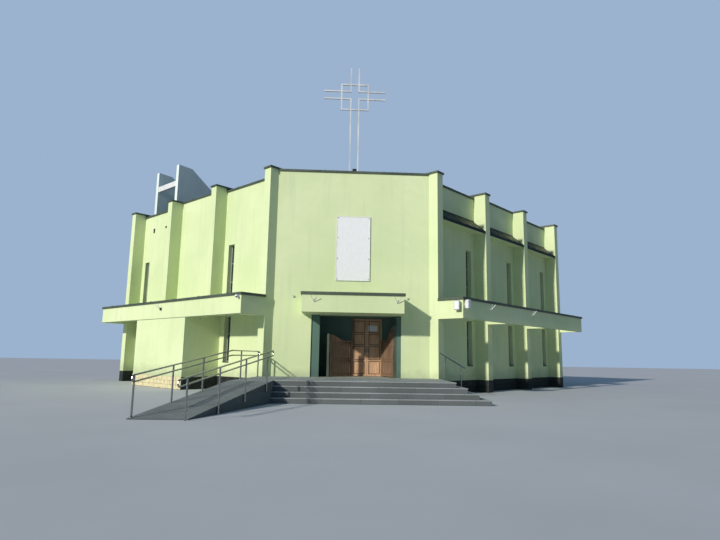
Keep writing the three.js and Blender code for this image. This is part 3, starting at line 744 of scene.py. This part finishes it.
def speakerGrille(bm, place, width, deep, high):
    front, grille, ribs = cabinet["stand"] + deep, cabinet["grille"], cabinet["ribs"]
    y, z = width / 2 - grille["margin"], high / 2 - grille["margin"]
    block(bm, front, front + grille["thick"], -y, y, -z, z, place)
    y, z = width / 2 - ribs["aside"], high / 2 - ribs["margin"]
    near, far = ribs["out"]
    for n in range(ribs["count"]):
        level = -z + n * 2 * z / (ribs["count"] - 1)
        block(bm, front + near, front + far, -y, y, level - ribs["half"], level + ribs["half"], place)


def loudspeakers():
    grilles = bmesh.new()
    for speaker in speakers:
        place = speakerPlace(*speaker["place"])
        case = speakerCabinet(place, *speaker["size"])
        speakerGrille(grilles, place, *speaker["size"])
        wall = speaker["place"][0]
        finishPiece(case, "loudspeaker_" + wall, "building", speaker["finish"])
    finishPiece(grilles, "loudspeaker_grilles", "building", "panel")


loudspeakers()


# Flag holders on the fascias: two short tubes that spread from a plate
holder = {
    "plate": {"out": (-0.001, 0.01), "halfWide": 0.03, "halfHigh": 0.05},
    "tubes": ((0.008, 0.012, -0.04), (0.17, 0.12, 0.18)),  # out, aside and up, at foot and tip
    "radius": 0.011,
    "porch": {"places": (-1.45, 1.65), "z": 3.47},
    "canopies": (("right", 2.10, 3.44), ("right", 5.94, 3.46), ("left", 6.04, 3.41)),
}


def flagHolder(bm, place):
    plate = holder["plate"]
    wide, high = plate["halfWide"], plate["halfHigh"]
    block(bm, *plate["out"], -wide, wide, -high, high, place)
    for hand in (-1, 1):
        foot, tip = (place @ Vector((out, hand * aside, up)) for out, aside, up in holder["tubes"])
        rod(bm, foot, tip, holder["radius"], flats=14)


def flagHolders():
    bm = bmesh.new()
    front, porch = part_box("front_canopy")[0].y, holder["porch"]
    for x in porch["places"]:
        flagHolder(bm, Matrix.Translation((x, front, porch["z"])) @ Matrix.Rotation(-math.pi / 2, 4, "Z"))
    for side, q, z in holder["canopies"]:
        outward = sides[side]["outward"]
        place = sidePlace(side) @ Matrix.Translation((q, outward * hall["canopyEdge"], z))
        flagHolder(bm, place @ Matrix.Rotation(outward * math.pi / 2, 4, "Z"))
    finishPiece(bm, "flag_holders", "building", "cross")


flagHolders()


# Wall lamps beside the entrance's canopy: a case with a cap over a white lens
wallLamp = {
    "places": (-2.30, 2.20),
    "case": {"half": 0.035, "out": (-0.001, 0.03), "z": (3.71, 3.78)},
    "cap": {"half": 0.045, "out": (0.02, 0.065), "z": (3.768, 3.78)},
    "lens": {"half": 0.026, "out": (0.026, 0.052), "z": (3.722, 3.768)},
    "round": 0.004,
    "lensRound": 0.01,
}


def wallLamps():
    cases, lenses = bmesh.new(), bmesh.new()
    for x in wallLamp["places"]:
        for bm, name in ((cases, "case"), (cases, "cap"), (lenses, "lens")):
            part = wallLamp[name]
            near, far = part["out"]
            block(bm, x - part["half"], x + part["half"], hall["facade"] - far, hall["facade"] - near,
                  *part["z"])
    soften(cases, wallLamp["round"])
    soften(lenses, wallLamp["lensRound"])
    finishPiece(cases, "wall_lamps", "building", "frames")
    finishPiece(lenses, "wall_lamp_lenses", "building", "white")


wallLamps()


# Dome camera on an arm at the near end of the left fascia; out is from the fascia's face
dome = {
    "q": 0.13,
    "z": 3.60,
    "plate": {"half": 0.05, "out": (-0.001, 0.02), "z": (-0.05, 0.08)},
    "arm": {"half": 0.02, "out": (0, 0.14), "z": (0.04, 0.07)},
    "shade": {"out": 0.12, "z": (-0.01, 0.05), "radii": (0.065, 0.05)},
    "eye": 0.05,
}


def domeCamera():
    shell, eye = bmesh.new(), bmesh.new()
    q, m, z = dome["q"], hall["canopyEdge"], dome["z"]
    for part in (dome["plate"], dome["arm"]):
        (near, far), (low, high) = part["out"], part["z"]
        sideBlock(shell, "left", q - part["half"], q + part["half"], m + near, m + far, z + low, z + high)
    shade = dome["shade"]
    low, high = (onSide("left", q, m + shade["out"], z + level) for level in shade["z"])
    rod(shell, low, high, *shade["radii"], 24)
    ball(eye, low, dome["eye"])
    finishPiece(shell, "dome_camera", "building", "white")
    finishPiece(eye, "dome_camera_eye", "building", "glass", smooth=True)


domeCamera()


# Vents high on the left side's third bay: a plate with louvres
vents = {
    "places": ((10.57, 7.93, 0.12), (9.31, 7.96, 0.06)),  # q, z and half of the height
    "plate": {"half": 0.07, "out": (-0.001, 0.012)},
    "louvres": {"half": 0.055, "out": (0.01, 0.03), "z": (-0.006, 0.004), "pitch": 0.03, "last": 0.01},
}


def wallVents():
    bm = bmesh.new()
    face, plate, louvres = hall["wallFace"], vents["plate"], vents["louvres"]
    low, high = louvres["z"]
    for q, z, half in vents["places"]:
        near, far = plate["out"]
        sideBlock(bm, "left", q - plate["half"], q + plate["half"], face + near, face + far,
                  z - half, z + half)
        near, far = louvres["out"]
        level = z - half + louvres["pitch"]
        while level < z + half - louvres["last"]:
            sideBlock(bm, "left", q - louvres["half"], q + louvres["half"], face + near, face + far,
                      level + low, level + high)
            level += louvres["pitch"]
    finishPiece(bm, "wall_vents", "building", "iron")


wallVents()


# Small box under the flag holder on the left fascia
fasciaCase = {"q": (5.88, 5.96), "out": (-0.001, 0.06), "z": (3.33, 3.45), "round": 0.006}


def fasciaBox():
    bm = bmesh.new()
    near, far = (hall["canopyEdge"] + out for out in fasciaCase["out"])
    sideBlock(bm, "left", *fasciaCase["q"], near, far, *fasciaCase["z"])
    soften(bm, fasciaCase["round"])
    finishPiece(bm, "fascia_box", "building", "iron")


fasciaBox()


# Two small white lamps under the left canopy: one on the low room's side, one on the soffit
smallLamps = {
    "side": {"m": 0.82, "half": 0.03, "plate": (-0.012, 0.001), "plateZ": (2.87, 2.96),
             "tube": ((-0.01, 2.92), (-0.09, 2.90)), "radii": (0.028, 0.036)},
    "soffit": {"q": 2.95, "m": 0.05, "aboveFascia": 0.148, "base": 0.05, "baseZ": (-0.02, 0.001),
               "bulb": 0.04, "bulbZ": -0.03},
}


def canopyLamps():
    bm = bmesh.new()
    lamp, wall = smallLamps["side"], hall["bay"]
    near, far = (wall + out for out in lamp["plate"])
    sideBlock(bm, "left", near, far, lamp["m"] - lamp["half"], lamp["m"] + lamp["half"], *lamp["plateZ"])
    foot, tip = (onSide("left", wall + out, lamp["m"], z) for out, z in lamp["tube"])
    rod(bm, foot, tip, *lamp["radii"], 20)
    lamp = smallLamps["soffit"]
    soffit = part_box("left_canopy")[0].z + lamp["aboveFascia"]
    low, high = (onSide("left", lamp["q"], lamp["m"], soffit + z) for z in lamp["baseZ"])
    rod(bm, low, high, lamp["base"], flats=24)
    ball(bm, onSide("left", lamp["q"], lamp["m"], soffit + lamp["bulbZ"]), lamp["bulb"])
    finishPiece(bm, "canopy_lamps", "building", "white")


canopyLamps()


# Thin dark sheet strip along the foot of the left fascia: painted shadow for the shadow line under the
# fascia
drip = {"out": (-0.001, 0.012), "z": (0.004, 0.02), "end": 0.01}


def fasciaShadowStrip():
    bm = bmesh.new()
    near, far = (hall["canopyEdge"] + out for out in drip["out"])
    low, high = (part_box("left_canopy")[0].z + z for z in drip["z"])
    sideBlock(bm, "left", drip["end"], hall["sideEnd"] - drip["end"], near, far, low, high)
    finishPiece(bm, "fascia_painted_shadow", "building", "coping")


fasciaShadowStrip()
print("fittings placed")


# Steps: a pale nosing on the edge of the landing and of every tread, along the front and the right
steps = {"levels": 4, "left": -2.6, "right": 3.364, "depth": 3.28, "treadBack": 0.04}
nosing = {"high": 0.024, "out": 0.012, "deep": 0.05, "lift": 0.0015, "leftPlay": 0.001, "backPlay": 0.01}


def stepNosings():
    bm = bmesh.new()
    out, deep = nosing["out"], nosing["deep"]
    for n in range(steps["levels"]):
        reach = n * hall["tread"]
        front = hall["facade"] - steps["depth"] - reach
        end = steps["right"] + reach
        back = hall["facade"] - (steps["right"] - hall["frontHalf"]) - (steps["treadBack"] if n else 0)
        top = hall["floor"] - n * hall["riser"]
        low, high = top - nosing["high"], top + nosing["lift"]
        block(bm, steps["left"] + nosing["leftPlay"], end + out, front - out, front + deep, low, high)
        block(bm, end - deep, end + out, front + deep, back - nosing["backPlay"], low, high)
    finishPiece(bm, "step_nosings", "building", "nosing")


stepNosings()


# Rails: flanges at the feet of the posts, and clamps that hold the outer ones to the ramp's side
ramp = {
    "top": ((-2.600, -4.200), (-3.930, -3.900)),  # right and left edge, from the entrance wall
    "foot": ((-3.900, -8.710), (-5.240, -8.730)),
    "lip": 0.024,
    "inset": 0.06,  # left posts, in from the edge
    "outset": -0.0246,  # right posts, out past the edge
    "rightPosts": (-0.035, 0.285, 0.604, 0.918),  # shares of the way from foot to top
    "leftPosts": (0.016, 0.336, 0.645),
    "turnBack": 0.04,
    "landingEdge": -3.54,
    "landingEnd": 0.5,
    "landingPosts": (0.3, 0.97),
    "stairPosts": ((3.55, 1), (4.16, 3)),  # place along X and steps below the landing
    "stairBack": 0.62,
}
flange = {"plate": (-0.008, 0.012), "plateRadii": (0.052, 0.05),
          "collar": (0.010, 0.035), "collarRadii": (0.032, 0.028), "flats": 20}
clamp = {"below": (0.19, 0.08), "high": 0.04, "radius": 0.031, "flats": 20}


def onRamp(edge, share, inset):
    top, foot = (Vector(ramp[end][edge]) for end in ("top", "foot"))
    along = (top - foot).normalized()
    hand = 1 if edge else -1
    spot = foot.lerp(top, share) + hand * inset * Vector((along.y, -along.x))
    return spot.x, spot.y + hall["facade"], ramp["lip"] + (hall["floor"] - ramp["lip"]) * share


def postFeet():
    feet = [onRamp(1, share, ramp["inset"]) for share in ramp["leftPosts"]]
    x, y = ramp["top"][1]
    turn = Vector((x + ramp["inset"], y + ramp["turnBack"] + hall["facade"], hall["floor"]))
    end = Vector((ramp["landingEdge"] + ramp["inset"], hall["facade"] - ramp["landingEnd"], hall["floor"]))
    feet += [turn.lerp(end, share) for share in ramp["landingPosts"]]
    back = hall["facade"] - ramp["stairBack"]
    return feet + [(x, back, hall["floor"] - n * hall["riser"]) for x, n in ramp["stairPosts"]]


def postFlanges():
    bm = bmesh.new()
    for x, y, z in postFeet():
        for part in ("plate", "collar"):
            low, high = flange[part]
            rod(bm, (x, y, z + low), (x, y, z + high), *flange[part + "Radii"], flange["flats"])
    for share in ramp["rightPosts"]:
        x, y, z = onRamp(0, share, ramp["outset"])
        for low in (z - below for below in clamp["below"]):
            if low > 0:
                rod(bm, (x, y, low), (x, y, low + clamp["high"]), clamp["radius"], flats=clamp["flats"])
    finishPiece(bm, "post_flanges", "building", "rails")


postFlanges()


# Foot of the low room under the left canopy: three courses of stone on mortar at its front, and dark
# facing on its two sides
footing = {
    "low": 0.002,
    "top": 0.506,
    "play": 0.001,
    "bed": 0.012,
    "courses": 3,
    "stone": (0.22, 0.46),  # shortest and longest
    "least": 0.14,  # a shorter rest joins the last stone
    "joint": 0.014,
    "root": 0.005,
    "proud": (0.018, 0.03),
    "round": 0.007,
    "seed": 5,
}


def stoneCourses(draw, start, end, lay):
    high = (footing["top"] - footing["low"]) / footing["courses"]
    half = footing["joint"] / 2
    for course in range(footing["courses"]):
        low, place = footing["low"] + course * high, start
        while place < end:
            wide = draw.uniform(*footing["stone"])
            if end - place - wide < footing["least"]:
                wide = end - place
            lay(place + half, place + wide - half, draw.uniform(*footing["proud"]), low + half,
                low + high - half)
            place += wide


def leftFooting():
    bed, stones, cheeks = bmesh.new(), bmesh.new(), bmesh.new()
    start, end = hall["bay"], 2 * hall["bay"] + hall["fin"]
    play, skin, root = footing["play"], footing["bed"], footing["root"]
    edge, inner = hall["canopyEdge"], hall["finReach"] + play
    low, top = footing["low"], footing["top"]

    def lay(q0, q1, out, z0, z1):
        sideBlock(stones, "left", q0, q1, edge + root, edge + out, z0, z1)

    sideBlock(bed, "left", start - skin, end + skin, edge + play, edge + skin, low, top)
    sideBlock(cheeks, "left", start - skin, start - play, inner, edge, low, top)
    sideBlock(cheeks, "left", end + play, end + skin, inner, edge, low, top)
    stoneCourses(random.Random(footing["seed"]), start - skin, end + skin, lay)
    soften(stones, footing["round"], 2)
    finishPiece(bed, "left_footing_bed", "building", "mortar")
    finishPiece(stones, "left_footing_stones", "building", "footing")
    finishPiece(cheeks, "left_footing_cheeks", "building", "plinth")


leftFooting()
print("steps, flanges and footing done")


# Raised beads round the panels of leaves and gates, on the side towards the street; their dark timber is
# painted shade for the shadow lines round the panels
beads = {"wide": 0.03, "proud": 0.008, "sink": 0.001, "round": 0.003}
leaf = {"turn": 0, "face": -0.056, "sides": (0.10, 0.518),
        "rows": ((0.776, 1.256), (1.356, 1.866), (1.966, 2.366), (2.466, 2.912))}
gate = {"face": -0.04, "sides": (0.15, 1.107)}
panelled = {
    "left_leaf": {"hinge": (0.078, 1.425), "hand": 1, **leaf},
    "right_leaf": {"hinge": (1.322, 1.425), "hand": -1, **leaf},
    "left_gate": {"hinge": (-0.848, -0.003), "hand": 1, "turn": gateTurns["left"],
                  "rows": ((0.796, 1.276), (1.386, 1.986)), **gate},
    "right_gate": {"hinge": (1.6827, -0.003), "hand": -1, "turn": gateTurns["right"],
                   "rows": ((0.796, 1.276), (1.386, 2.026)), **gate},
}


def panelBeads():
    wide = beads["wide"]
    for body, door in panelled.items():
        turn = Matrix.Rotation(math.radians(door["turn"]), 4, "Z")
        place = Matrix.Translation((*door["hinge"], 0)) @ turn
        x0, x1 = sorted(door["hand"] * side for side in door["sides"])
        out, face = door["face"] - beads["proud"], door["face"] + beads["sink"]
        bm = bmesh.new()
        for low, high in door["rows"]:
            for a0, a1, z0, z1 in rimBars(x0 - wide, x1 + wide, low - wide, high + wide, wide):
                block(bm, a0, a1, out, face, z0, z1, place)
        soften(bm, beads["round"], 1)
        finishPiece(bm, body + "_beads", body, "beads")


panelBeads()


# Entrance doors: a pull on each leaf and a blank notice on the right one
pull = {"left": 0.652, "right": 0.752, "low": 1.62, "high": 1.86, "out": 0.05, "radius": 0.01,
        "sink": 0.001, "plate": 0.02, "plateThick": 0.005,
        "stem": 0.05, "stemRadius": 0.009, "stemSink": 0.002}
notice = {"x": (0.74, 1.135), "z": (2.517, 2.755), "out": (0.0005, 0.004)}


def doorPull(side):
    bm = bmesh.new()
    face, low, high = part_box("door_leaf_" + side)[0].y, pull["low"], pull["high"]
    x, out, half = pull[side], face - pull["out"], pull["plate"]
    for z in (low + pull["stem"], high - pull["stem"]):
        rod(bm, (x, face + pull["stemSink"], z), (x, out, z), pull["stemRadius"], flats=14)
    rod(bm, (x, out, low), (x, out, high), pull["radius"])
    block(bm, x - half, x + half, face - pull["plateThick"], face + pull["sink"], low, high)
    finishPiece(bm, side + "_door_pull", side + "_leaf", "rails")


def doorNotice():
    bm = bmesh.new()
    near, far = (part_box("door_leaf_right")[0].y - out for out in notice["out"])
    block(bm, *notice["x"], near, far, *notice["z"])
    finishPiece(bm, "door_notice", "right_leaf", "panel")


doorPull("left")
doorPull("right")
doorNotice()


# Cross: bolted foot plates on the roof
crossFoot = {
    "middle": -0.015,
    "mast": 0.175,  # from the middle to each mast
    "behind": 1.0,  # from the entrance wall's outer face
    "half": 0.11,
    "z": (-0.002, 0.016),
    "bolts": {"aside": 0.08, "radius": 0.012, "z": (0.014, 0.032)},
}


def crossFeet():
    bm = bmesh.new()
    roof, half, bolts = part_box("roof_slab")[1].z, crossFoot["half"], crossFoot["bolts"]
    y = hall["facade"] + crossFoot["behind"]
    low, high = (roof + z for z in crossFoot["z"])
    for hand in (-1, 1):
        x = crossFoot["middle"] + hand * crossFoot["mast"]
        block(bm, x - half, x + half, y - half, y + half, low, high)
        for dx in (-bolts["aside"], bolts["aside"]):
            for dy in (-bolts["aside"], bolts["aside"]):
                foot, tip = ((x + dx, y + dy, roof + z) for z in bolts["z"])
                rod(bm, foot, tip, bolts["radius"], flats=6)
    finishPiece(bm, "cross_feet", "building", "cross")


crossFeet()


# Small box on the parapet between the cross's masts
parapetCase = {"x": (-0.09, 0.08), "behind": (0.02, 0.18), "z": (-0.002, 0.12), "round": 0.008}


def parapetBox():
    bm = bmesh.new()
    near, far = (hall["facade"] + behind for behind in parapetCase["behind"])
    low, high = (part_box("front_coping")[1].z + z for z in parapetCase["z"])
    block(bm, *parapetCase["x"], near, far, low, high)
    soften(bm, parapetCase["round"])
    finishPiece(bm, "parapet_box", "building", "iron")


parapetBox()
print("doors and cross fitted")


# Pale floor under the hall
ground = {"size": 90, "place": (0, 8, -0.002), "dark": (0.46, 0.48, 0.50), "pale": (0.50, 0.52, 0.54)}


def groundPlane():
    bm = bmesh.new()
    bmesh.ops.create_grid(bm, x_segments=1, y_segments=1, size=ground["size"])
    bmesh.ops.translate(bm, verts=bm.verts, vec=ground["place"])
    mesh = bpy.data.meshes.new("floor")
    bm.to_mesh(mesh)
    bm.free()
    floor = bpy.data.objects.new("floor", mesh)
    bpy.context.scene.collection.objects.link(floor)
    finish, tree, shader, place = newFinish("pale floor", 0.9)
    tones = ((0.3, ground["dark"]), (0.7, ground["pale"]))
    coloured(tree, shader, shades(tree, cloudy(tree, place, "floorClouds"), *tones))
    mesh.materials.append(finish)


# Light: turn is in degrees to the left of the way the entrance faces, rise is in degrees too
light = {
    "key": {"energy": 3.4, "softness": 2.2, "colour": (1.0, 0.935, 0.85), "turn": 43.0, "rise": 23.5},
    "side": {"energy": 0.36, "softness": 60.0, "colour": (0.92, 0.96, 1.0), "turn": 55.0, "rise": 38.0},
    "fill": {"strength": 0.28, "colour": (0.34, 0.61, 1.0)},
    "backdrop": (0.33, 0.45, 0.62),  # what the camera sees behind the hall
}


def farLamp(name, energy, softness, colour, turn, rise):
    data = bpy.data.lights.new(name, "SUN")
    data.energy = energy
    data.angle = math.radians(softness)
    data.color = colour
    lamp = bpy.data.objects.new(name, data)
    bpy.context.scene.collection.objects.link(lamp)
    turn, rise = math.radians(turn), math.radians(rise)
    source = Vector((-math.sin(turn) * math.cos(rise), -math.cos(turn) * math.cos(rise), math.sin(rise)))
    lamp.rotation_euler = source.to_track_quat("Z", "Y").to_euler()


def studioLight():
    for name in ("key", "side"):
        farLamp(name, **light[name])
    world = bpy.data.worlds.new("studio")
    bpy.context.scene.world = world
    world.use_nodes = True
    tree = world.node_tree
    fill = tree.nodes["Background"]
    fill.inputs["Color"].default_value = (*light["fill"]["colour"], 1)
    fill.inputs["Strength"].default_value = light["fill"]["strength"]
    backdrop = tree.nodes.new("ShaderNodeBackground")
    backdrop.inputs["Color"].default_value = (*light["backdrop"], 1)
    seen = tree.nodes.new("ShaderNodeLightPath").outputs["Is Camera Ray"]
    both = tree.nodes.new("ShaderNodeMixShader")
    tree.links.new(seen, both.inputs["Fac"])
    tree.links.new(fill.outputs["Background"], both.inputs[1])
    tree.links.new(backdrop.outputs["Background"], both.inputs[2])
    tree.links.new(both.outputs["Shader"], tree.nodes["World Output"].inputs["Surface"])
    bpy.context.scene.view_settings.view_transform = "Standard"


# Camera at the photo's angle
camera = {
    "place": (-0.724, -21.514, 1.455),
    "lens": 27.145,
    "sensor": 36,
    "farthest": 400,
    "yaw": 2.72,  # degrees to the right
    "pitch": 9.07,  # up
    "roll": 0.957,
}


def photoCamera():
    data = bpy.data.cameras.new("camera")
    data.lens = camera["lens"]
    data.sensor_width = camera["sensor"]
    data.sensor_fit = "HORIZONTAL"
    data.clip_end = camera["farthest"]
    view = bpy.data.objects.new("camera", data)
    bpy.context.scene.collection.objects.link(view)
    turn = (Matrix.Rotation(math.radians(-camera["yaw"]), 4, "Z")
            @ Matrix.Rotation(math.radians(90 + camera["pitch"]), 4, "X")
            @ Matrix.Rotation(math.radians(camera["roll"]), 4, "Z"))
    view.matrix_world = Matrix.Translation(camera["place"]) @ turn
    bpy.context.scene.camera = view


groundPlane()
studioLight()
photoCamera()
print("stage, light and camera set")
